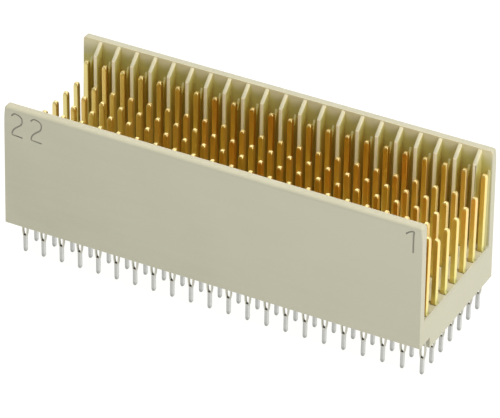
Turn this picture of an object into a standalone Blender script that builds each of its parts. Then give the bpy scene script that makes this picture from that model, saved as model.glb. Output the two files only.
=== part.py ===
"""Backplane connector: a straight male header with 22 columns and 7 rows of press-fit contacts.

Frame: +Z is the mating direction, Z = 0 is the plane that seats on the circuit board, X runs along
the columns (column 22 at -X, column 1 at +X) and Y across the rows (row z at -Y, row f at +Y).
X = Y = 0 is the middle of the contact grid.
"""

import math

import bmesh
import bpy

MM = 0.001

# Contact grid
pitch = 2.0 * MM
columns = 22
rows = "zabcdef"
shield_rows = "zf"

# Moulded housing
wall_thickness = 0.87 * MM
row_to_wall = 0.95 * MM
left_end_margin = 1.12 * MM
right_end_margin = 0.50 * MM
end_draft = 0.20 * MM
floor_thickness = 3.85 * MM
wall_height = 10.30 * MM
rim_corner_radius = 0.30 * MM
rim_corner_segments = 2
front_relief_height = 1.20 * MM
front_relief_web = 0.12 * MM

# Guide ribs on the inner faces of both walls, between the columns
rib_width = 0.42 * MM
rib_reach = 1.13 * MM
rib_top_gap = 0.10 * MM
rib_slope_height = 0.85 * MM

# Backing ribs behind the shield contacts, on the columns
backing_width = 0.34 * MM
backing_reach = 0.46 * MM
backing_height = 8.36 * MM
backing_slope_height = 0.46 * MM

# Contacts
pin_side = 0.50 * MM
signal_reach = 6.93 * MM
shield_reach = 8.30 * MM
tip_length = 0.30 * MM

# Press-fit tail, a flat stamping with an eye that springs in its board hole
tail_length = 2.75 * MM
tail_thickness = 0.28 * MM
shank_width = 0.38 * MM
eye_width = 0.66 * MM
eye_half_length = 1.00 * MM
beam_width = 0.15 * MM
tail_point_length = 0.25 * MM
tail_point_width = 0.16 * MM

# Clearance of a separate contact in its slot, and how deep joined forms run into each other
slot_clearance = 0.04 * MM
root_depth = 0.30 * MM

floor_top = floor_thickness
rim = floor_top + wall_height
slot_width = eye_width + 2 * slot_clearance
slot_depth = pin_side + 2 * slot_clearance
square_end = front_relief_height + root_depth / 2


def column_x(column):
    """Column 1 is at the +X end, as the numbers on the front wall say."""
    return ((columns + 1) / 2 - column) * pitch


def row_y(row):
    return (rows.index(row) - (len(rows) - 1) / 2) * pitch


wall_face = row_y(rows[-1]) + row_to_wall
wall_outside = wall_face + wall_thickness
left_end = column_x(columns) - left_end_margin
right_end = column_x(1) + right_end_margin
relief_edge = row_y(rows[0]) + slot_depth / 2 + front_relief_web


def clear_scene():
    for obj in list(bpy.data.objects):
        bpy.data.objects.remove(obj, do_unlink=True)


def principled(name, color, roughness, metallic):
    material = bpy.data.materials.new(name)
    material.use_nodes = True
    shader = material.node_tree.nodes["Principled BSDF"]
    shader.inputs["Base Color"].default_value = (*color, 1.0)
    shader.inputs["Roughness"].default_value = roughness
    shader.inputs["Metallic"].default_value = metallic
    return material


def new_object(name, bm, materials, is_helper=False):
    """Turns a bmesh into an object in the scene. A helper only feeds a Boolean."""
    bmesh.ops.recalc_face_normals(bm, faces=bm.faces)
    mesh = bpy.data.meshes.new(name)
    bm.to_mesh(mesh)
    bm.free()
    for material in materials:
        mesh.materials.append(material)
    obj = bpy.data.objects.new(name, mesh)
    bpy.context.scene.collection.objects.link(obj)
    obj.hide_render = is_helper
    if is_helper:
        obj.display_type = "WIRE"
    return obj


def add_boolean(obj, operation, other):
    modifier = obj.modifiers.new(other.name, "BOOLEAN")
    modifier.operation = operation
    modifier.solver = "EXACT"
    modifier.material_mode = "TRANSFER"
    modifier.object = other


def extrude_outline(bm, points, along, slot=0):
    """Adds a prism: the outline as one face, extruded along a vector."""
    face = bm.faces.new([bm.verts.new(point) for point in points])
    new = bmesh.ops.extrude_face_region(bm, geom=[face])["geom"]
    moved = [item for item in new if isinstance(item, bmesh.types.BMVert)]
    bmesh.ops.translate(bm, verts=moved, vec=along)
    made = {near for vert in moved for near in vert.link_faces}
    for item in made | {face}:
        item.material_index = slot
    return moved


def add_post(bm, x, y, width, depth, low, high):
    """Adds an upright rectangular post centred on x and y, and returns its top corners."""
    base = [
        (x - width / 2, y - depth / 2, low),
        (x + width / 2, y - depth / 2, low),
        (x + width / 2, y + depth / 2, low),
        (x - width / 2, y + depth / 2, low),
    ]
    return extrude_outline(bm, base, (0, 0, high - low))


def housing_section():
    """The U-shaped cross-section in Y and Z, with the relief under the front wall."""
    return [
        (-wall_outside, front_relief_height),
        (relief_edge, front_relief_height),
        (relief_edge, 0),
        (wall_outside, 0),
        (wall_outside, rim),
        (wall_face, rim),
        (wall_face, floor_top),
        (-wall_face, floor_top),
        (-wall_face, rim),
        (-wall_outside, rim),
    ]


def make_housing_body(materials):
    """The plain moulding: the section along the whole length, with round corners at the rim ends.

    Both ends lean in by the mould's draft, from the underside up to the rim.
    """
    bm = bmesh.new()
    outline = [(left_end, y, z) for y, z in housing_section()]
    extrude_outline(bm, outline, (right_end - left_end, 0, 0))
    for vert in bm.verts:
        vert.co.x -= math.copysign(end_draft * vert.co.z / rim, vert.co.x)
    corners = [
        edge
        for edge in bm.edges
        if abs(edge.verts[0].co.x - edge.verts[1].co.x) < MM / 1000
        and all(vert.co.z > rim - MM / 1000 for vert in edge.verts)
    ]
    bmesh.ops.bevel(
        bm,
        geom=corners,
        offset=rim_corner_radius,
        segments=rim_corner_segments,
        profile=0.5,
        affect="EDGES",
    )
    return new_object("housing", bm, materials)


def rib_outline(x, side, reach, top, slope_height):
    """A rib's side view: upright from the floor, then a slope back to the wall for the plug to enter."""
    edge = wall_face - reach
    root = wall_face + min(root_depth, wall_thickness / 2)
    outline = [
        (edge, floor_top - root_depth),
        (edge, top - slope_height),
        (wall_face, top),
        (root, top),
        (root, floor_top - root_depth),
    ]
    return [(x, side * y, z) for y, z in outline]


def make_ribs():
    """Guide ribs between the columns and lower backing ribs on them, on both walls."""
    bm = bmesh.new()
    guide_top = rim - rib_top_gap
    backing_top = floor_top + backing_height
    for side in (-1, 1):
        for column in range(1, columns):
            x = column_x(column) - pitch / 2 - rib_width / 2
            outline = rib_outline(x, side, rib_reach, guide_top, rib_slope_height)
            extrude_outline(bm, outline, (rib_width, 0, 0))
        for column in range(1, columns + 1):
            x = column_x(column) - backing_width / 2
            outline = rib_outline(x, side, backing_reach, backing_top, backing_slope_height)
            extrude_outline(bm, outline, (backing_width, 0, 0))
    return new_object("rib_forms", bm, [], is_helper=True)


def make_slots():
    """One slot through the floor for each separate contact."""
    bm = bmesh.new()
    low, high = -root_depth, floor_top + root_depth
    for row in shield_rows:
        for column in range(1, columns + 1):
            add_post(bm, column_x(column), row_y(row), slot_width, slot_depth, low, high)
    return new_object("slot_cutters", bm, [], is_helper=True)


def add_pin(bm, x, y, low, high):
    """The square mating pin with its short tapered tip."""
    top = add_post(bm, x, y, pin_side, pin_side, low, high - tip_length)
    shoulder = next(face for face in bm.faces if set(face.verts) == set(top))
    bmesh.ops.poke(bm, faces=[shoulder], offset=tip_length)


def tail_outline(x, y, top, has_point):
    """The tail's front view: a neck that widens to the eye, the shank and, if asked, a point."""
    tip = -tail_length
    half = [(shank_width / 2, top), (eye_width / 2, 0), (shank_width / 2, -eye_half_length)]
    if has_point:
        half += [(shank_width / 2, tip + tail_point_length), (tail_point_width / 2, tip)]
    else:
        half += [(shank_width / 2, tip)]
    left = [(x - out, y, z) for out, z in half]
    right = [(x + out, y, z) for out, z in reversed(half)]
    return left + right


def add_tail(bm, x, y, top, has_point):
    """The flat press-fit tail below the square pin, in the second material slot."""
    outline = tail_outline(x, y - tail_thickness / 2, top, has_point)
    extrude_outline(bm, outline, (0, tail_thickness, 0), slot=1)


def add_eye(bm, x, y):
    """The opening between the two beams of the eye."""
    half_width = eye_width / 2 - beam_width
    half_length = eye_half_length - beam_width
    front = y - tail_thickness
    outline = [
        (x, front, half_length),
        (x - half_width, front, 0),
        (x, front, -half_length),
        (x + half_width, front, 0),
    ]
    extrude_outline(bm, outline, (0, 2 * tail_thickness, 0))


def make_signal_contacts(gold, tin):
    """The signal contacts of rows a to e. The housing takes them in as one solid with itself."""
    bm = bmesh.new()
    eyes = bmesh.new()
    for row in rows:
        if row in shield_rows:
            continue
        for column in range(1, columns + 1):
            x, y = column_x(column), row_y(row)
            add_pin(bm, x, y, floor_top - root_depth, floor_top + signal_reach)
            add_tail(bm, x, y, square_end, has_point=False)
            add_eye(eyes, x, y)
    contacts = new_object("signal_contacts", bm, [gold, tin], is_helper=True)
    add_boolean(contacts, "DIFFERENCE", new_object("signal_eyes", eyes, [tin], is_helper=True))
    return contacts


def make_shield_contact(gold, tin):
    """One shield contact on the Z axis: its pin, tail and eye as one stamping."""
    body = bmesh.new()
    add_pin(body, 0, 0, square_end, floor_top + shield_reach)
    contact = new_object("shield_contact_form", body, [gold, tin], is_helper=True)
    tail = bmesh.new()
    add_tail(tail, 0, 0, square_end + root_depth, has_point=True)
    eye = bmesh.new()
    add_eye(eye, 0, 0)
    add_boolean(contact, "UNION", new_object("tail_form", tail, [tin], is_helper=True))
    add_boolean(contact, "DIFFERENCE", new_object("eye_form", eye, [tin], is_helper=True))
    return contact


def place_shield_contacts(form):
    """Copies the finished contact to each place of rows z and f."""
    bpy.context.view_layer.update()
    graph = bpy.context.evaluated_depsgraph_get()
    mesh = bpy.data.meshes.new_from_object(form.evaluated_get(graph))
    for row in shield_rows:
        for column in range(1, columns + 1):
            contact = bpy.data.objects.new(f"shield_contact_{row}{column:02d}", mesh)
            contact.location = (column_x(column), row_y(row), 0)
            bpy.context.scene.collection.objects.link(contact)


def main():
    clear_scene()
    plastic = principled("housing_plastic", (0.48, 0.46, 0.37), 0.55, 0.0)
    gold = principled("contact_gold", (0.78, 0.52, 0.12), 0.25, 1.0)
    tin = principled("tail_tin", (0.62, 0.61, 0.58), 0.35, 1.0)
    housing = make_housing_body([plastic, gold, tin])
    add_boolean(housing, "UNION", make_ribs())
    add_boolean(housing, "DIFFERENCE", make_slots())
    add_boolean(housing, "UNION", make_signal_contacts(gold, tin))
    place_shield_contacts(make_shield_contact(gold, tin))


main()
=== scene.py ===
# %% [markdown]
# # Dressing a backplane connector
#
# The object is a straight press-fit header for a backplane. A plastic housing with a U-shaped
# section, open at both ends, holds a field of square gold-plated pins. Below it stand flat
# tin-plated tails, one for each pin, that are pressed into the holes of a circuit board.
#
# The packed CAD model gives every position. This lesson loads it, replaces its plain solids by
# finer meshes in the same places, gives each one a finish made of nodes, and sets up a small
# photo studio around it.

import math

import bmesh
import bpy
from mathutils import Matrix, Vector


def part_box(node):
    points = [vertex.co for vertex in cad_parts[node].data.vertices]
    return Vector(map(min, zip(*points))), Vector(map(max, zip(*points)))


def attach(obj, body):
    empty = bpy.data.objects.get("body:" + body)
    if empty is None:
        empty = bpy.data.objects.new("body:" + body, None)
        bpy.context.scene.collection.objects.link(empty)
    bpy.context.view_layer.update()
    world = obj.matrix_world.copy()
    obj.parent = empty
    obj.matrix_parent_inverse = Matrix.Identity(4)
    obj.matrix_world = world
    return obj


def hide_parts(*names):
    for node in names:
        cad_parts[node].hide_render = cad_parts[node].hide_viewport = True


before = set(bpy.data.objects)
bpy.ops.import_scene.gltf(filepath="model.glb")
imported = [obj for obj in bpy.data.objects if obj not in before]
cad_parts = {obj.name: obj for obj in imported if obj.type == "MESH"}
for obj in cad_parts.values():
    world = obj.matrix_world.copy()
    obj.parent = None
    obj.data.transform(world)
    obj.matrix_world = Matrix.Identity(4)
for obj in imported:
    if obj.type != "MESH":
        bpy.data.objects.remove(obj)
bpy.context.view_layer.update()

# %% [markdown]
# ## Sizes
#
# The contacts stand on a square grid. Its pitch, its rows and its columns can be read from the
# separate shield contacts of the frame, the outer rows z and f. The housing's box gives its ends,
# its outer faces and its rim. Only the sizes that no box shows are written here as numbers, in
# millimetres times MM.

# %% Read the grid and the housing from the frame
MM = 0.001
COLUMNS = 22
ROWS = "zabcdef"
SHIELD_ROWS = "zf"


def middle(node):
    low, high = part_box(node)
    return (low + high) / 2


first = middle("shield_contact_z01")
pitch_x = first.x - middle("shield_contact_z02").x
pitch_y = (middle("shield_contact_f01").y - first.y) / (len(ROWS) - 1)

housing_low, housing_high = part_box("housing")
left_end, right_end = housing_low.x, housing_high.x
wall_outside = housing_high.y
rim = housing_high.z
tail_tip = housing_low.z
shield_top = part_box("shield_contact_z01")[1].z

wall_thickness = 0.87 * MM
wall_face = wall_outside - wall_thickness
floor_top = 3.85 * MM
signal_top = floor_top + 6.93 * MM
relief_height = 1.20 * MM

shank_half = 0.19 * MM
eye_inner = 0.17 * MM
eye_reach = 0.93 * MM


def place(row, column):
    """Where a contact stands: x and y of its middle."""
    return first.x - (column - 1) * pitch_x, first.y + ROWS.index(row) * pitch_y


print(f"grid pitch {pitch_x / MM:.2f} x {pitch_y / MM:.2f} mm, rim at {rim / MM:.2f} mm")

# %% [markdown]
# ## Mesh helpers
#
# The moulded forms are prisms: an outline drawn once, then pushed along a straight line, as the
# mould makes them. A Boolean joins or cuts them, and its result is read back as a plain mesh, so
# that no Boolean and no cutter is left in the file. Rounded edges then get smooth shading, with
# normals weighted by area, which keeps large flat faces flat.

# %% Helpers for prisms, objects and Booleans
def prism(bm, outline, along):
    """Adds a closed solid: the outline as a face, pushed along a vector."""
    face = bm.faces.new([bm.verts.new(point) for point in outline])
    pushed = bmesh.ops.extrude_face_region(bm, geom=[face])["geom"]
    far = [item for item in pushed if isinstance(item, bmesh.types.BMVert)]
    bmesh.ops.translate(bm, verts=far, vec=along)


def round_edges(bm, edges, radius, segments):
    bmesh.ops.bevel(bm, geom=edges, offset=radius, segments=segments, profile=0.5, affect="EDGES")


def sharp_edges(bm, degrees=30):
    return [edge for edge in bm.edges if edge.calc_face_angle(0) > math.radians(degrees)]


def add_object(name, bm, *materials):
    bmesh.ops.recalc_face_normals(bm, faces=bm.faces)
    mesh = bpy.data.meshes.new(name)
    bm.to_mesh(mesh)
    bm.free()
    for material in materials:
        mesh.materials.append(material)
    obj = bpy.data.objects.new(name, mesh)
    bpy.context.scene.collection.objects.link(obj)
    return obj


def carve(obj, steps, crossing=False):
    """Runs Booleans in turn and keeps only the mesh. With crossing, a form may cut itself."""
    for operation, other in steps:
        modifier = obj.modifiers.new(other.name, "BOOLEAN")
        modifier.operation = operation
        modifier.solver = "EXACT"
        modifier.use_self = crossing
        modifier.material_mode = "TRANSFER"
        modifier.object = other
    bpy.context.view_layer.update()
    shaped = obj.evaluated_get(bpy.context.evaluated_depsgraph_get())
    mesh = bpy.data.meshes.new_from_object(shaped)
    obj.modifiers.clear()
    obj.data = mesh
    for _, other in steps:
        bpy.data.objects.remove(other, do_unlink=True)
    return obj


def smooth_by_angle(obj, degrees=35):
    """Shades rounded edges smooth and keeps real corners crisp."""
    obj.data.shade_smooth()
    obj.data.set_sharp_from_angle(angle=math.radians(degrees))
    weighted = obj.modifiers.new("even_shading", "WEIGHTED_NORMAL")
    weighted.keep_sharp = True


print("mesh helpers ready")

# %% [markdown]
# ## Shader helpers
#
# Finishes are sums and products of textures. Written node by node they are hard to read, so a
# small class wraps an output socket and lets Python's operators add the Math nodes. The
# reflected forms, such as __radd__, serve where a plain number stands on the left.

# %% A socket that can be added and multiplied
class Wire:
    """An output socket that takes part in sums as a number does."""

    def __init__(self, finish, socket):
        self.finish = finish
        self.socket = socket

    def math(self, operation, left, right):
        return self.finish.node("ShaderNodeMath", {"operation": operation}, {0: left, 1: right})

    def __add__(self, other):
        return self.math("ADD", self, other)

    def __radd__(self, other):
        return self.math("ADD", other, self)

    def __sub__(self, other):
        return self.math("SUBTRACT", self, other)

    def __rsub__(self, other):
        return self.math("SUBTRACT", other, self)

    def __mul__(self, other):
        return self.math("MULTIPLY", self, other)

    def __rmul__(self, other):
        return self.math("MULTIPLY", other, self)


print("operators:", sorted(name for name in vars(Wire) if name.startswith("__r")))

# %% [markdown]
# ## One material in the making
#
# Another class holds a material and has one method that adds any node. The others are the few
# measures that every finish here is made of: noise, soft steps, worn edges, openness and the
# way a face looks. Colours never go through a Math node, because it would turn them grey: they
# are mixed with a Mix node instead.

# %% The material class
class Finish:
    """One material in the making. Its points are object coordinates in millimetres."""

    def __init__(self, name, metallic=0.0):
        self.material = bpy.data.materials.new(name)
        self.material.use_nodes = True
        self.tree = self.material.node_tree
        self.shader = self.tree.nodes["Principled BSDF"]
        self.shader.inputs["Metallic"].default_value = metallic
        place_m = self.node("ShaderNodeTexCoord", output="Object")
        self.place = self.node(
            "ShaderNodeVectorMath", {"operation": "SCALE"}, {0: place_m, "Scale": 1 / MM}
        )

    def node(self, kind, settings=None, inputs=None, output=0):
        """Adds a node: first its settings, then the values or wires of its inputs."""
        node = self.tree.nodes.new(kind)
        for name, value in (settings or {}).items():
            setattr(node, name, value)
        for name, value in (inputs or {}).items():
            self.plug(node.inputs[name], value)
        return Wire(self, node.outputs[output])

    def plug(self, socket, value):
        if isinstance(value, Wire):
            self.tree.links.new(value.socket, socket)
        else:
            socket.default_value = value

    def noise(self, size, detail=2.0, roughness=0.5, stretch=(1, 1, 1)):
        """Soft random patches of a given size in millimetres, stretched along the axes."""
        scale = tuple(1 / (size * factor) for factor in stretch)
        point = self.node("ShaderNodeVectorMath", {"operation": "MULTIPLY"}, {0: self.place, 1: scale})
        inputs = {"Vector": point, "Scale": 1.0, "Detail": detail, "Roughness": roughness}
        return self.node("ShaderNodeTexNoise", None, inputs, "Fac")

    def ramp_between(self, value, low, high):
        """0 below low, 1 above high, with a smooth step between. Low may be the larger one."""
        inputs = {"Value": value, "From Min": low, "From Max": high}
        return self.node("ShaderNodeMapRange", {"interpolation_type": "SMOOTHSTEP"}, inputs)

    def split(self, vector, axis):
        """One coordinate of a vector."""
        return self.node("ShaderNodeSeparateXYZ", None, {0: vector}, axis)

    def size_of(self, value):
        """The value without its sign."""
        return self.node("ShaderNodeMath", {"operation": "ABSOLUTE"}, {0: value})

    def mix(self, factor, one, other):
        """A colour between two colours."""
        settings = {"data_type": "RGBA"}
        return self.node("ShaderNodeMix", settings, {0: factor, 6: one, 7: other}, 2)

    def edges(self, radius):
        """1 on edges rounded to about this radius in millimetres, 0 on flat ground."""
        rounded = self.node("ShaderNodeBevel", {"samples": 6}, {"Radius": radius * MM})
        flat = self.node("ShaderNodeNewGeometry", output="Normal")
        settings = {"operation": "DOT_PRODUCT"}
        agree = self.node("ShaderNodeVectorMath", settings, {0: rounded, 1: flat}, "Value")
        return self.ramp_between(1 - agree, 0.02, 0.25)

    def openness(self, reach):
        """1 on open faces, 0 deep in pockets and slots up to this reach in millimetres."""
        settings = {"samples": 8}
        return self.node("ShaderNodeAmbientOcclusion", settings, {"Distance": reach * MM}, "AO")

    def facing(self, axis):
        """The part of the surface normal that points along an axis of the object."""
        return self.split(self.node("ShaderNodeTexCoord", output="Normal"), axis)

    def relief(self, height, depth):
        """Fine relief of a given depth in millimetres for the shader's Normal."""
        inputs = {"Height": height, "Distance": depth * MM, "Strength": 1.0}
        self.plug(self.shader.inputs["Normal"], self.node("ShaderNodeBump", None, inputs, "Normal"))

    def paint(self, colour, roughness):
        self.plug(self.shader.inputs["Base Color"], colour)
        self.plug(self.shader.inputs["Roughness"], roughness)


print("methods of a finish:", sum(callable(value) for value in vars(Finish).values()))

# %% [markdown]
# ## Finish of the housing, as moulded, with painted light
#
# The housing is a glass-filled polyester in a warm pebble grey. The mould was spark-eroded, so
# the surface is matt with a fine grain. The resin flowed along the walls and left faint long
# streaks. They are noise stretched along X, which chooses a tone between two greys. The plastic
# is painted a shade lighter towards column 1 and towards the rim, as painted light: one slow
# ramp along X, one along Z.

# %% The plastic as moulded, with painted light
def shade(red, green, blue):
    return (red, green, blue, 1.0)


def inside_walls(finish):
    """1 on what lies above the floor and between the walls, 0 elsewhere."""
    from_middle = finish.size_of(finish.split(finish.place, "Y"))
    height = finish.split(finish.place, "Z")
    face, level = wall_face / MM, floor_top / MM
    above_floor = finish.ramp_between(height, level - 0.6, level - 0.1)
    return above_floor * finish.ramp_between(from_middle, face + 0.10, face + 0.02)


def moulded_colour_with_painted_light(finish, inside, streaks, fibres):
    clouds = finish.noise(6.0, detail=3.0)
    tone = finish.ramp_between(0.5 * clouds + 0.3 * streaks + 0.2 * fibres, 0.30, 0.70)
    ground = finish.mix(tone, shade(0.475, 0.470, 0.355), shade(0.515, 0.510, 0.390))
    along, height = finish.split(finish.place, "X"), finish.split(finish.place, "Z")
    top = rim / MM
    # Painted light: the plastic is painted lighter towards column 1 and towards the rim.
    painted_light_to_column_one = 0.55 * finish.ramp_between(along, left_end / MM, right_end / MM)
    painted_light_to_rim = 0.35 * finish.ramp_between(height, 1.0, top)
    on_rim = finish.ramp_between(height, top - 0.5, top - 0.2)
    lighter = (1 - 0.7 * on_rim) * (1 - 0.6 * inside) * (painted_light_to_column_one + painted_light_to_rim)
    return finish.mix(lighter, ground, shade(0.56, 0.55, 0.43))


print("plain and lighter grey ready")

# %% [markdown]
# ## The golden light between the walls
#
# Between the ribs the plastic looks olive, and brown where it is deepest, because the light there
# has met gold and plastic many times over. A render stops after a few such bounces, so an
# ambient occlusion node finds the hollows and a Mix node adds the rest. It fades out at the open
# end by column 1, and near the rim the walls are painted pale again, as painted light.

# %% Olive and brown in the hollows
def gilded_colour(finish, inside, moulded_with_painted_light):
    along, height = finish.split(finish.place, "X"), finish.split(finish.place, "Z")
    upward = finish.facing("Z")
    opened = finish.openness(3.0)
    top, end = rim / MM, right_end / MM
    off_end = finish.ramp_between(along, end - 0.1, end - 0.5)
    gilt = inside * off_end * (1 - 0.85 * finish.ramp_between(upward, 0.3, 0.6))
    sunk = finish.ramp_between(height, top - 1.6, top - 2.2)
    olive = gilt * finish.ramp_between(opened - 0.3 * sunk, 1.25, 0.50)
    brown = gilt * finish.ramp_between(opened, 0.36, 0.11)
    warmed = finish.mix(0.9 * olive, moulded_with_painted_light, shade(0.50, 0.45, 0.11))
    browned = finish.mix(0.85 * brown, warmed, shade(0.62, 0.44, 0.04))
    on_slope = finish.ramp_between(upward, 0.45, 0.65)
    # Painted light: near the rim the walls between the ribs are painted pale again.
    painted_light_at_lip = inside * (1 - 0.4 * on_slope) * finish.ramp_between(height, top - 1.5, top - 0.15)
    seen = finish.ramp_between(opened, 0.25, 0.75)
    return finish.mix(0.8 * painted_light_at_lip * seen, browned, shade(0.80, 0.74, 0.50))


print("olive, brown and lip tones ready")

# %% [markdown]
# ## Painted light on the guide ribs, and worn edges
#
# The narrow faces of the guide ribs, along which the socket half slides, are painted pale, as
# painted light, most of all near their tops. They are found by how far they stand in from the
# wall and by the way they face. Handling rubs every edge a little lighter and smoother, which a
# Bevel node finds. The grain and the fibres also make the fine relief.

# %% The housing's plastic
def find_guide_rib_faces(finish, inside):
    """1 on the narrow faces of the guide ribs, which get painted light, 0 elsewhere."""
    from_middle = finish.size_of(finish.split(finish.place, "Y"))
    face = wall_face / MM
    on_rib = inside * finish.ramp_between(from_middle, face - 0.50, face - 0.70)
    return on_rib * finish.ramp_between(finish.size_of(finish.facing("Y")), 0.75, 0.95)


def make_plastic():
    finish = Finish("moulded_polyester")
    streaks = finish.noise(0.9, detail=2.0, stretch=(9, 1, 1))
    fibres = finish.noise(0.12, detail=1.0, stretch=(3, 1, 1))
    grain = finish.noise(0.07, detail=2.0, roughness=0.6)
    inside = inside_walls(finish)
    guide_rib_faces = find_guide_rib_faces(finish, inside)
    worn = finish.edges(0.10)
    moulded_with_painted_light = moulded_colour_with_painted_light(finish, inside, streaks, fibres)
    gilded = gilded_colour(finish, inside, moulded_with_painted_light)
    top = rim / MM
    # Painted light: the guide rib faces are painted pale, most of all near their tops.
    rib_light_towards_top = finish.ramp_between(finish.split(finish.place, "Z"), top - 3.6, top - 1.1)
    painted_rib_light = guide_rib_faces * (0.62 + 0.20 * streaks + 0.25 * rib_light_towards_top)
    pale = finish.mix(painted_rib_light, gilded, shade(0.97, 0.895, 0.665))
    colour = finish.mix(0.5 * worn, pale, shade(0.64, 0.60, 0.46))
    finish.paint(colour, 0.52 + 0.12 * grain - 0.10 * worn - 0.06 * guide_rib_faces)
    finish.relief(0.7 * grain + 0.3 * fibres, 0.006)
    finish.shader.inputs["Specular IOR Level"].default_value = 0.45
    return finish.material


plastic = make_plastic()
print("finish:", plastic.name)

# %% [markdown]
# ## Finish of the marks
#
# The column numbers are cut into the front wall as thin grooves. In the groove the plastic is
# darker, nearly grey, and quite matt. A separate material is enough: the Boolean that cuts the
# grooves hands the cutter's material to the faces it makes.

# %% The dark of the engraved numbers
def make_mark():
    finish = Finish("engraved_groove")
    soot = finish.noise(0.15, detail=3.0)
    colour = finish.mix(soot, shade(0.30, 0.295, 0.245), shade(0.40, 0.39, 0.33))
    finish.paint(colour, 0.7 + 0.2 * soot)
    finish.relief(soot, 0.01)
    return finish.material


mark = make_mark()
print("finish:", mark.name)

# %% [markdown]
# ## One tone for each pin
#
# The pins are drawn and stamped from copper alloy, then plated with nickel and gold. Plating
# comes out a little redder on one pin and a little yellower on the next. All pins share one
# material, so the tone comes from the place: the coordinates are divided by the pitch and
# rounded down to a cell number, and white noise turns that number into a random one.

# %% A random tone for each cell of the grid
def tone_of_pin(finish):
    per_pitch = (MM / pitch_x, MM / pitch_y, 0.0)
    on_pin = (COLUMNS / 2, len(ROWS) / 2, 0.5)
    scale, add, floor_of = ({"operation": name} for name in ("MULTIPLY", "ADD", "FLOOR"))
    pitches = finish.node("ShaderNodeVectorMath", scale, {0: finish.place, 1: per_pitch})
    counted = finish.node("ShaderNodeVectorMath", add, {0: pitches, 1: on_pin})
    cell = finish.node("ShaderNodeVectorMath", floor_of, {0: counted})
    settings = {"noise_dimensions": "3D"}
    return finish.node("ShaderNodeTexWhiteNoise", settings, {"Vector": cell}, "Value")


print("cells of the grid:", COLUMNS * len(ROWS))

# %% [markdown]
# ## Finish of the pins
# Drawing leaves lines along the pin, so the noise is stretched along Z, and older patches are
# dull. Deep in the field the gold is painted redder, a painted reflection of the other gold that
# it mostly mirrors there. The pins near both ends are painted paler, as painted light, and those
# of the last column darker and greener, as painted shade. Each foot has a lime cast and is
# painted dark, as painted shade, where it enters the floor. The coined tips get a painted
# highlight on their upward faces, and the edges are bright. The sheared faces towards column 1
# are matt: there a part of the metal is swapped for a pale matt ground. Near the open end they
# are painted pale, as painted light from that end.

# %% The gold of the pins
def plated_colour(finish, pin_tone, patches):
    base = finish.mix(pin_tone, shade(1.0, 0.57, 0.11), shade(0.95, 0.79, 0.20))
    dull = 0.6 * finish.ramp_between(patches, 0.42, 0.70)
    tarnish = finish.mix(dull, base, shade(0.90, 0.70, 0.15))
    # Painted reflection: deep in the field the gold is painted redder, like the gold it mirrors.
    hidden = finish.ramp_between(finish.openness(2.5), 0.75, 0.30)
    painted_reflection_red = finish.mix(0.8 * hidden, tarnish, shade(1.0, 0.53, 0.05))
    along = finish.split(finish.place, "X")
    # Painted light: the pins near both ends are painted paler.
    to_left = finish.ramp_between(along, -2.0, -15.0)
    to_right = finish.ramp_between(along, 17.5, 19.5)
    painted_light_at_ends = finish.mix(0.5 * to_left + 0.3 * to_right, painted_reflection_red, shade(1.0, 0.84, 0.38))
    # Painted shade: the pins of the last column are painted darker and greener.
    last = 0.45 * finish.ramp_between(along, -18.0, -20.5)
    painted_shade_last_column = finish.mix(last, painted_light_at_ends, shade(0.42, 0.42, 0.24))
    height, level = finish.split(finish.place, "Z"), floor_top / MM
    at_foot = 0.8 * (1 - hidden) * finish.ramp_between(height + 2 * patches, level + 6.0, level)
    lime = finish.mix(at_foot, painted_shade_last_column, shade(0.77, 0.78, 0.28))
    # Painted shade: each foot is painted dark where it enters the floor.
    painted_shade_at_floor = 0.45 * finish.ramp_between(height, level + 0.7, level + 0.1)
    return finish.mix(painted_shade_at_floor, lime, shade(0.33, 0.32, 0.13))


def painted_light_from_end(finish):
    """How much painted light from the open end the sheared faces towards column 1 get. They are also
    partly non-metallic there.
    """
    along, height = finish.split(finish.place, "X"), finish.split(finish.place, "Z")
    level = floor_top / MM
    sheared = finish.ramp_between(finish.facing("X"), 0.6, 0.9)
    near_end = finish.ramp_between(along, 12.0, 18.0)
    column_one = finish.ramp_between(along, 19.5, 20.5)
    return sheared * near_end * (1 - 0.6 * column_one) * finish.ramp_between(height, level, level + 1.5)


def make_gold():
    finish = Finish("plated_gold", metallic=1.0)
    pin_tone = tone_of_pin(finish)
    drawn = finish.noise(0.05, detail=2.0, stretch=(1, 1, 40))
    patches = finish.noise(0.8, detail=3.0, stretch=(1, 1, 3))
    worn = finish.edges(0.05)
    # Painted highlight: the upward faces of the coined tips are painted pale.
    coined = finish.ramp_between(finish.facing("Z"), 0.15, 0.55)
    matt_and_painted_end_light = painted_light_from_end(finish)
    plated = plated_colour(finish, pin_tone, patches)
    # Painted light: near the open end the sheared faces towards column 1 are painted pale.
    with_painted_end_light = finish.mix(0.6 * matt_and_painted_end_light, plated, shade(1.0, 0.84, 0.50))
    with_painted_tip_highlight = finish.mix(0.8 * coined, with_painted_end_light, shade(1.0, 0.86, 0.46))
    colour = finish.mix(0.6 * worn, with_painted_tip_highlight, shade(1.0, 0.90, 0.58))
    finish.paint(colour, 0.24 + 0.11 * drawn + 0.06 * pin_tone + 0.16 * coined - 0.04 * worn)
    finish.plug(finish.shader.inputs["Metallic"], 1 - 0.5 * matt_and_painted_end_light)
    finish.relief(drawn, 0.0015)
    return finish.material


gold = make_gold()
print("finish:", gold.name)

# %% [markdown]
# ## Finish of the tails
#
# Below the housing the contacts are tinned. Tin is a duller, cooler metal with a faint mottle
# where it froze on the strip, and fine lines from the die. Below the eye, the left edge of the
# shank is painted darker, as painted shade, and the right one bright, as a painted highlight.
# The beams of the eye are a little warmer. The lower end of the eye's inner edge gets a painted
# shadow, and the tips are dark, where bare copper alloy shows at the cut. Each of these is a band
# of the height or of the place across the tail, which repeats with the pitch.

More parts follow.
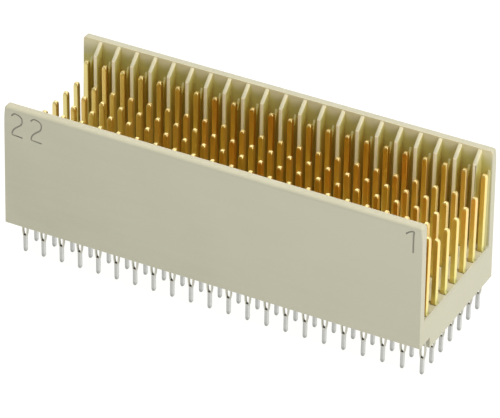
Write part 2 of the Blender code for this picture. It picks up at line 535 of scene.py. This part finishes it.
# %% The tin of the tails
def across_tail(finish):
    """How far to the right of the middle of its own tail a point lies, in millimetres."""
    pitches = MM / pitch_x * finish.split(finish.place, "X")
    part = finish.node("ShaderNodeMath", {"operation": "FRACT"}, {0: pitches})
    return pitch_x / MM * (part - 0.5)


def shank_colour(finish, height, mottle):
    across, half, eye_end = across_tail(finish), shank_half / MM, -eye_reach / MM
    below_eye = finish.ramp_between(height, eye_end + 0.03, eye_end - 0.17)
    # Painted shade on the left edge of the shank, painted highlight on the right one.
    left_edge = below_eye * finish.ramp_between(across, 0.09 - half, 0.02 - half)
    right_edge = below_eye * finish.ramp_between(across, half - 0.13, half - 0.01)
    shank = finish.mix(mottle, shade(0.44, 0.44, 0.425), shade(0.62, 0.62, 0.60))
    with_painted_edge_shade = finish.mix(0.7 * left_edge, shank, shade(0.20, 0.205, 0.19))
    return finish.mix(0.6 * right_edge, with_painted_edge_shade, shade(0.80, 0.80, 0.78))


def painted_shadow_at_eye_end(finish, height):
    """1 on the lower end of the eye's inner edge, where a painted shadow goes, 0 elsewhere."""
    eye_end, from_middle = -eye_reach / MM, finish.size_of(across_tail(finish))
    in_eye = finish.ramp_between(from_middle, eye_inner / MM - 0.01, eye_inner / MM - 0.05)
    low_enough = finish.ramp_between(height, eye_end + 0.15, eye_end + 0.08)
    return in_eye * low_enough * finish.ramp_between(height, eye_end - 0.04, eye_end)


def make_tin():
    finish = Finish("matt_tin", metallic=1.0)
    height = finish.split(finish.place, "Z")
    mottle = finish.noise(0.18, detail=3.0, roughness=0.6)
    drawn = finish.noise(0.03, detail=2.0, stretch=(1, 1, 30))
    eye_end, tip_end = -eye_reach / MM, tail_tip / MM
    at_eye = finish.ramp_between(height, eye_end - 0.27, eye_end + 0.13)
    at_tip = finish.ramp_between(height, tip_end + 0.50, tip_end + 0.05)
    beams = finish.mix(at_eye, shank_colour(finish, height, mottle), shade(0.56, 0.55, 0.47))
    tip = finish.mix(0.45 * at_tip, beams, shade(0.16, 0.16, 0.14))
    # Painted shadow at the lower end of the eye.
    cut = finish.mix(0.9 * painted_shadow_at_eye_end(finish, height), tip, shade(0.09, 0.08, 0.06))
    colour = finish.mix(0.3 * finish.edges(0.05), cut, shade(0.86, 0.86, 0.83))
    finish.paint(colour, 0.34 + 0.18 * mottle + 0.08 * drawn)
    finish.relief(0.5 * mottle + 0.5 * drawn, 0.004)
    return finish.material


tin = make_tin()
print("finish:", tin.name)

# %% [markdown]
# ## The housing
#
# The moulding is one piece: a floor between two walls. Its section is drawn once in Y and Z and
# pushed along X. Under the front wall the section steps up, which leaves room for the board's
# legend. Both ends lean in a little towards the rim: this draft lets the part leave its mould.
# The four rim corners and the outer edges of the rim have a clear radius. Every other edge has a
# hairline one, because no moulded edge is perfectly sharp and the thin highlight on it is what
# makes it look real. Where two radii meet, the bevel bulges by some thousandths of a millimetre.
# The last loop sets those points back onto the outer faces.

# %% The plain moulding
rim_corner = 0.30 * MM
rim_outer_radius = 0.27 * MM
edge_radius = 0.07 * MM
relief_edge = first.y + 0.41 * MM
end_draft = 0.20 * MM


def add_moulding():
    bm = bmesh.new()
    section = [
        (-wall_outside, relief_height),
        (relief_edge, relief_height),
        (relief_edge, 0),
        (wall_outside, 0),
        (wall_outside, rim),
        (wall_face, rim),
        (wall_face, floor_top),
        (-wall_face, floor_top),
        (-wall_face, rim),
        (-wall_outside, rim),
    ]
    prism(bm, [(left_end, y, z) for y, z in section], (right_end - left_end, 0, 0))
    for vert in bm.verts:
        vert.co.x -= math.copysign(end_draft * vert.co.z / rim, vert.co.x)
    corners = [
        edge
        for edge in bm.edges
        if abs(edge.verts[0].co.x - edge.verts[1].co.x) < edge_radius
        and min(vert.co.z for vert in edge.verts) > rim - edge_radius
    ]
    round_edges(bm, corners, rim_corner, 5)
    outer_rim = [
        edge
        for edge in sharp_edges(bm)
        if all(abs(vert.co.y) > wall_outside - edge_radius for vert in edge.verts)
        and min(vert.co.z for vert in edge.verts) > rim - rim_corner - edge_radius
    ]
    round_edges(bm, outer_rim, rim_outer_radius, 4)
    round_edges(bm, sharp_edges(bm), edge_radius, 2)
    for vert in bm.verts:
        vert.co.y = max(-wall_outside, min(wall_outside, vert.co.y))
    return add_object("connector_housing", bm, plastic, mark)


housing = add_moulding()
print("moulding:", len(housing.data.polygons), "faces")

# %% [markdown]
# ## The ribs
#
# Between the columns each wall has a tall guide rib that leads the socket half in, and behind
# each outer contact a lower rib that backs it. Both have the same side view: upright, then a
# slope back to the wall. So one function draws both kinds, from two sets of four sizes.

# %% Guide ribs and backing ribs
rib_root = 0.3 * MM
rib_edge_radius = 0.10 * MM
guide_rib = {"width": 0.42 * MM, "reach": 1.13 * MM, "top": rim - 0.10 * MM, "slope": 1.02 * MM}
backing_rib = {"width": 0.30 * MM, "reach": 0.42 * MM, "top": floor_top + 8.30 * MM, "slope": 1.05 * MM}


def add_rib(bm, x, side, width, reach, top, slope):
    edge = wall_face - reach
    outline = [
        (edge, floor_top - rib_root),
        (edge, top - slope),
        (wall_face, top),
        (wall_face + rib_root, top),
        (wall_face + rib_root, floor_top - rib_root),
    ]
    prism(bm, [(x - width / 2, side * y, z) for y, z in outline], (width, 0, 0))


def add_ribs():
    bm = bmesh.new()
    for side in (-1, 1):
        for column in range(1, COLUMNS + 1):
            x, _ = place("z", column)
            add_rib(bm, x, side, **backing_rib)
            if column < COLUMNS:
                add_rib(bm, x - pitch_x / 2, side, **guide_rib)
    bmesh.ops.recalc_face_normals(bm, faces=bm.faces)
    inside = [
        edge for edge in sharp_edges(bm, 20) if any(abs(vert.co.y) < wall_face for vert in edge.verts)
    ]
    round_edges(bm, inside, rib_edge_radius, 3)
    return add_object("rib_forms", bm, plastic)


ribs = add_ribs()
print("ribs:", len(ribs.data.polygons), "faces")

# %% [markdown]
# ## The contact pockets
#
# A contact is wider inside the housing than the pin above it, so the floor has a square well
# around each pin, with a slit on the side of the last column. The slit shows as a dark tick
# beside the pin. The underside has a plain slot around each tail.

# %% Slots above and below the floor
slit_left = 0.72 * MM
slit_half = 0.15 * MM
well_half = 0.34 * MM
tail_slot_half = 0.37 * MM
slot_depth = 1.20 * MM

WELL = [
    (-slit_left, -slit_half),
    (-well_half, -slit_half),
    (-well_half, -well_half),
    (well_half, -well_half),
    (well_half, well_half),
    (-well_half, well_half),
    (-well_half, slit_half),
    (-slit_left, slit_half),
]
TAIL_SLOT = [
    (-tail_slot_half, -well_half),
    (tail_slot_half, -well_half),
    (tail_slot_half, well_half),
    (-tail_slot_half, well_half),
]


def add_slots():
    bm = bmesh.new()
    for row in ROWS:
        under = relief_height if row == ROWS[0] else 0.0
        for column in range(1, COLUMNS + 1):
            x, y = place(row, column)
            for outline, level in ((WELL, floor_top), (TAIL_SLOT, under)):
                points = [(x + out, y + aside, level - slot_depth) for out, aside in outline]
                prism(bm, points, (0, 0, 2 * slot_depth))
    return add_object("slot_cutters", bm, plastic)


slots = add_slots()
print("slots:", 2 * len(ROWS) * COLUMNS)

# %% [markdown]
# ## The column numbers
#
# The first and the last column are numbered on the front wall in a plain draughting hand. A
# curve with a round bevel is a pen stroke with thickness. Its axis lies on the wall's face, so
# the Boolean leaves a groove half as deep as it is wide. The curve runs smoothly through its
# points, except for those near the bottom, which are sharp corners.

# %% Pen strokes for the numbers
stroke_radius = 0.095 * MM
numeral_top = rim - 0.66 * MM
numeral_height = 2.36 * MM
left_two_x = left_end + 1.60 * MM
right_two_x = left_end + 3.67 * MM
one_x = right_end - 1.08 * MM

corner_height = 0.1
weld_distance = 0.001 * MM
TWO = [(-0.25, 0.92), (-0.12, 1.04), (0.05, 1.02), (0.19, 0.94), (0.235, 0.80), (0.19, 0.63),
       (0.02, 0.48), (-0.16, 0.31), (-0.23, 0.17), (-0.235, 0.05), (0.235, 0.02)]
ONE = [(-0.33, 0.86), (-0.12, 1.01), (-0.01, 1.02), (-0.01, 0.88), (0.0, 0.09)]


def surface_of(curve):
    """The surface of a bevelled or filled curve, with its doubled points welded."""
    drawing = bpy.data.objects.new(curve.name, curve)
    bpy.context.scene.collection.objects.link(drawing)
    bpy.context.view_layer.update()
    drawn = drawing.evaluated_get(bpy.context.evaluated_depsgraph_get())
    bm = bmesh.new()
    bm.from_mesh(bpy.data.meshes.new_from_object(drawn))
    bmesh.ops.remove_doubles(bm, verts=bm.verts, dist=weld_distance)
    bpy.data.objects.remove(drawing, do_unlink=True)
    return bm


def add_stroke(name, points, x):
    """One numeral as a curve on the front face. Points are in parts of its height."""
    curve = bpy.data.curves.new(name, "CURVE")
    curve.dimensions = "3D"
    curve.bevel_depth = stroke_radius
    curve.bevel_resolution = 1
    curve.use_fill_caps = True
    curve.resolution_u = 6
    spline = curve.splines.new("BEZIER")
    spline.bezier_points.add(len(points) - 1)
    bottom = numeral_top - numeral_height
    for point, (across, up) in zip(spline.bezier_points, points):
        point.co = (x + across * numeral_height, -wall_outside, bottom + up * numeral_height)
        handle = "AUTO" if up > corner_height else "VECTOR"
        point.handle_left_type = handle
        point.handle_right_type = handle
    return add_object(name, surface_of(curve), mark)


strokes = [
    add_stroke("numeral_two_left", TWO, left_two_x),
    add_stroke("numeral_two_right", TWO, right_two_x),
    add_stroke("numeral_one", ONE, one_x),
]
print("strokes:", [len(stroke.data.polygons) for stroke in strokes])

# %% [markdown]
# ## Join and cut the housing
#
# The order matters: ribs first, so that the slots also cut their feet, and the numbers last.
# The exact solver is used because many faces here lie in one plane. A pen stroke can cross
# itself in a tight bend, so for the numbers the solver is told to expect that.

# %% Join and cut
carve(housing, [("UNION", ribs), ("DIFFERENCE", slots)])
carve(housing, [("DIFFERENCE", stroke) for stroke in strokes], crossing=True)
smooth_by_angle(housing)
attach(housing, "root")
print("housing:", len(housing.data.polygons), "faces,", len(housing.data.materials), "materials")

# %% [markdown]
# ## The upper half of a contact
#
# Above the floor a contact is a square pin with rounded corners and a coined tip. It flares to
# a short foot where it leaves the floor, and inside the well it becomes a flat shoulder. All of
# it is a loft: the same ring of points again and again, at other heights and sizes. A ring is a
# rectangle whose corners are quarter circles.

# %% Rings and lofts
CORNER_STEPS = 3


def ring(half_x, half_y, z, corner, shift=0.0):
    """A rounded rectangle at height z, as points in order. Shift moves it along X."""
    points = []
    for quarter in range(4):
        turn = quarter * math.pi / 2
        side_x = 1 if quarter in (0, 3) else -1
        side_y = 1 if quarter in (0, 1) else -1
        for step in range(CORNER_STEPS + 1):
            angle = turn + step / CORNER_STEPS * math.pi / 2
            x = shift + side_x * (half_x - corner) + corner * math.cos(angle)
            y = side_y * (half_y - corner) + corner * math.sin(angle)
            points.append((x, y, z))
    return points


def loft(bm, rings):
    """Joins rings of equal length into a closed skin and caps both ends."""
    layers = [[bm.verts.new(point) for point in points] for points in rings]
    count = len(layers[0])
    for lower, rib_light_towards_top in zip(layers, layers[1:]):
        for index in range(count):
            after = (index + 1) % count
            bm.faces.new((lower[index], lower[after], rib_light_towards_top[after], rib_light_towards_top[index]))
    bm.faces.new(layers[0])
    bm.faces.new(layers[-1])


pin_half = 0.25 * MM
pin_corner = 0.07 * MM
tip_length = 0.42 * MM
tip_half = 0.11 * MM
TIP_STEPS = 4
TIP_FULLNESS = 0.8
foot_half = 0.29 * MM
foot_edge = 0.05 * MM
foot_height = 0.22 * MM
shoulder_half = 0.34 * MM
shoulder_shift = 0.03 * MM
shoulder_edge = 0.03 * MM
shoulder_low = 1.60 * MM


def tip_rings(top):
    """The coined tip: the sides lean in, faster and faster, to a small blunt end."""
    rings = []
    end_corner = 0.8 * tip_half
    for step in range(TIP_STEPS + 1):
        part = step / TIP_STEPS
        turn = part * math.pi / 2
        half = tip_half + (pin_half - tip_half) * math.cos(turn) ** TIP_FULLNESS
        corner = pin_corner + (end_corner - pin_corner) * part
        rings.append(ring(half, half, top - tip_length * (1 - math.sin(turn)), corner))
    return rings


def add_pin(top):
    bm = bmesh.new()
    shoulder = (shoulder_half, shoulder_half / 2)
    rings = [
        ring(*shoulder, shoulder_low, shoulder_edge, shoulder_shift),
        ring(*shoulder, floor_top - shoulder_edge, shoulder_edge, shoulder_shift),
        ring(foot_half, foot_half, floor_top, pin_corner, shoulder_shift),
        ring(foot_half, foot_half, floor_top + foot_edge, pin_corner, shoulder_shift),
        ring(pin_half, pin_half, floor_top + foot_height, pin_corner),
    ]
    loft(bm, rings + tip_rings(top))
    return add_object("pin_form", bm, gold)


print("ring points:", len(ring(pin_half, pin_half, 0, pin_corner)))

# %% [markdown]
# ## The tail
#
# The tail is blanked from flat strip. In the board's hole its eye gives way like a spring. A
# filled 2D curve is the same thing in Blender: one closed line for the blank, another for the
# eye inside it, and some thickness with a small rounding, as the die leaves it.

# %% A tail from two flat curves
tail_thickness = 0.28 * MM
eye_outer = 0.33 * MM
neck_top = 2.10 * MM
swell_end = eye_reach + 0.12 * MM
tip_height = 0.32 * MM
tip_flat = 0.07 * MM
burr_radius = 0.05 * MM
SWELL_STEPS = 12
SWELL_POWER = 1.5
NOSE_STEPS = 5
EYE_STEPS = 24
EYE_POWER = 0.7


def blank_outline():
    """Half of the blank's edge from the neck to the tip, then mirrored."""
    half = [(shank_half, neck_top), (shank_half, swell_end)]
    for step in range(1, SWELL_STEPS):
        turn = step / SWELL_STEPS * math.pi
        height = swell_end * math.cos(turn)
        swell = math.sin(turn) ** SWELL_POWER
        half.append((shank_half + (eye_outer - shank_half) * swell, height))
    half.append((shank_half, -swell_end))
    for step in range(NOSE_STEPS + 1):
        angle = step / NOSE_STEPS * math.pi / 2
        across = tip_flat + (shank_half - tip_flat) * math.cos(angle)
        half.append((across, tail_tip + tip_height * (1 - math.sin(angle))))
    return half + [(-x, z) for x, z in reversed(half)]


def eye_outline():
    """A slim almond, pointed where the two beams meet."""
    points = []
    for step in range(EYE_STEPS):
        angle = step / EYE_STEPS * 2 * math.pi
        across = math.copysign(eye_inner * abs(math.sin(angle)) ** EYE_POWER, math.sin(angle))
        points.append((across, eye_reach * math.cos(angle)))
    return points


def add_tail():
    curve = bpy.data.curves.new("tail_form", "CURVE")
    curve.dimensions = "2D"
    curve.fill_mode = "BOTH"
    curve.bevel_depth = burr_radius
    curve.bevel_resolution = 1
    curve.offset = -burr_radius
    curve.extrude = tail_thickness / 2 - burr_radius
    for outline in (blank_outline(), eye_outline()):
        spline = curve.splines.new("POLY")
        spline.points.add(len(outline) - 1)
        spline.use_cyclic_u = True
        for point, (x, z) in zip(spline.points, outline):
            point.co = (x, z, 0, 1)
    bm = surface_of(curve)
    bm.transform(Matrix.Rotation(math.pi / 2, 4, "X"))
    return add_object("tail_form_mesh", bm, tin)


def add_contact(name, top):
    """Pin and tail joined into one solid, standing on the Z axis."""
    contact = carve(add_pin(top), [("UNION", add_tail())])
    contact.name = name
    return contact


signal_form = add_contact("signal_form", signal_top)
shield_form = add_contact("shield_form", shield_top)
print("one signal contact:", len(signal_form.data.polygons), "faces")

# %% [markdown]
# ## Rows of contacts
#
# All contacts of a kind are alike, so the finished mesh is copied to each place of the grid. The
# copies go into one object for each kind: the inner rows carry signals, and the two outer rows
# are taller and make the shield. Fewer objects keep the scene light and easy to handle.

# %% Fill the grid
def add_rows(name, form, rows):
    bm = bmesh.new()
    for row in rows:
        for column in range(1, COLUMNS + 1):
            x, y = place(row, column)
            known = len(bm.verts)
            bm.from_mesh(form.data)
            bm.verts.ensure_lookup_table()
            bmesh.ops.translate(bm, verts=bm.verts[known:], vec=(x, y, 0))
    field = add_object(name, bm, *form.data.materials)
    bpy.data.objects.remove(form, do_unlink=True)
    smooth_by_angle(field)
    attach(field, "root")
    print(name + ":", len(field.data.polygons), "faces")
    return field


signal_rows = [row for row in ROWS if row not in SHIELD_ROWS]
add_rows("signal_contacts", signal_form, signal_rows)
shield_contacts = add_rows("shield_contacts", shield_form, SHIELD_ROWS)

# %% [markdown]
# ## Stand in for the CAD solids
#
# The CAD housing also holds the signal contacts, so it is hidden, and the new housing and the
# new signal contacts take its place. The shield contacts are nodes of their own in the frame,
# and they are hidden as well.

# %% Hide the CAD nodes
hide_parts("housing")
shield_nodes = [
    f"shield_contact_{row}{column:02d}" for row in SHIELD_ROWS for column in range(1, COLUMNS + 1)
]
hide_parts(*shield_nodes)
print("replaced:", 1 + len(shield_nodes), "nodes")

# %% [markdown]
# ## The light table
#
# The picture has no horizon and hardly a shadow: such small parts are photographed on a white
# acrylic sheet that is lit from below. So nearly all of the floor's white is its own glow over a
# dark, faintly grained surface, on which a shadow hardly shows. The glow also puts soft light
# between the tails.

# %% The floor
FLOOR_SIZE = 0.8
FLOOR_GLOW = 0.97


def make_acrylic():
    finish = Finish("white_acrylic")
    grain = finish.noise(3.0, detail=3.0)
    colour = finish.mix(grain, shade(0.07, 0.07, 0.068), shade(0.09, 0.09, 0.088))
    finish.paint(colour, 0.55 + 0.1 * grain)
    finish.shader.inputs["Emission Color"].default_value = shade(1.0, 1.0, 0.985)
    finish.shader.inputs["Emission Strength"].default_value = FLOOR_GLOW
    finish.shader.inputs["Specular IOR Level"].default_value = 0.2
    return finish.material


def add_floor():
    bm = bmesh.new()
    bmesh.ops.create_grid(bm, x_segments=1, y_segments=1, size=FLOOR_SIZE)
    bmesh.ops.translate(bm, verts=bm.verts, vec=(0, 0, tail_tip))
    return add_object("floor", bm, make_acrylic())


floor = add_floor()
print("floor at", round(tail_tip / MM, 2), "mm")

# %% [markdown]
# ## Light
#
# One big soft box hangs above, a little to the front, and makes the rims the brightest plastic
# in the picture. A second one stands at the right and lights the open end and the right faces
# of the pins. A weak third one behind puts a glint on the coined tips. The room itself is a
# pale grey, so that the front of the object stays a tone darker.

# %% Soft boxes and the room
LAMP_DISTANCE = 0.45
LAMP_TINT = (1.0, 0.945, 0.86)
ROOM_TINT = (0.995, 1.0, 1.01)
ROOM_STRENGTH = 0.35


def direction(azimuth, elevation):
    """From the connector to a lamp or the camera. Azimuth 0 is in front, 90 at the right."""
    turn, rise = math.radians(azimuth), math.radians(elevation)
    return Vector((math.sin(turn) * math.cos(rise), -math.cos(turn) * math.cos(rise), math.sin(rise)))


def add_soft_box(name, azimuth, elevation, size, power):
    """A square lamp that looks at the connector."""
    away = direction(azimuth, elevation)
    lamp = bpy.data.lights.new(name, "AREA")
    lamp.shape = "SQUARE"
    lamp.size = size
    lamp.energy = power
    lamp.color = LAMP_TINT
    box = bpy.data.objects.new(name, lamp)
    box.location = away * LAMP_DISTANCE
    box.rotation_euler = away.to_track_quat("Z", "Y").to_euler()
    bpy.context.scene.collection.objects.link(box)


def light_room():
    world = bpy.data.worlds.new("pale_room")
    world.use_nodes = True
    background = world.node_tree.nodes["Background"]
    background.inputs["Color"].default_value = shade(*ROOM_TINT)
    background.inputs["Strength"].default_value = ROOM_STRENGTH
    bpy.context.scene.world = world


add_soft_box("top_box", azimuth=15, elevation=80, size=0.30, power=1.60)
add_soft_box("right_box", azimuth=80, elevation=25, size=0.30, power=1.00)
add_soft_box("back_box", azimuth=205, elevation=36, size=0.22, power=0.34)
light_room()

# %% [markdown]
# ## Camera
#
# The camera was found by matching the grid of pins and tails in the photograph to the real
# grid. It looks from the front right and above, from far away with a long lens, and is rolled
# by less than a degree.

# %% The photograph's camera
AZIMUTH = 27.38
ELEVATION = 32.84
ROLL = 0.904
DISTANCE = 345.17 * MM
TARGET = Vector((-0.968, 1.813, 3.85)) * MM
SENSOR = 36.0
IMAGE_WIDTH = 500
FOCAL_PIXELS = 3663.7


def add_camera():
    roll = math.radians(ROLL)
    back = direction(AZIMUTH, ELEVATION)
    right = Vector((0, 0, 1)).cross(back).normalized()
    up = back.cross(right)
    rolled_right = right * math.cos(roll) + up * math.sin(roll)
    rolled_up = up * math.cos(roll) - right * math.sin(roll)
    lens = bpy.data.cameras.new("camera")
    lens.sensor_fit = "HORIZONTAL"
    lens.sensor_width = SENSOR
    lens.lens = FOCAL_PIXELS / IMAGE_WIDTH * SENSOR
    lens.clip_start = 0.01
    lens.clip_end = 10.0
    camera = bpy.data.objects.new("camera", lens)
    turned = Matrix((rolled_right, rolled_up, back)).transposed()
    camera.matrix_world = Matrix.Translation(TARGET + back * DISTANCE) @ turned.to_4x4()
    bpy.context.scene.collection.objects.link(camera)
    bpy.context.scene.camera = camera
    return camera


camera = add_camera()
bpy.context.scene.view_settings.view_transform = "Standard"
print("camera at", tuple(round(value / MM, 1) for value in camera.matrix_world.translation), "mm")

# %% [markdown]
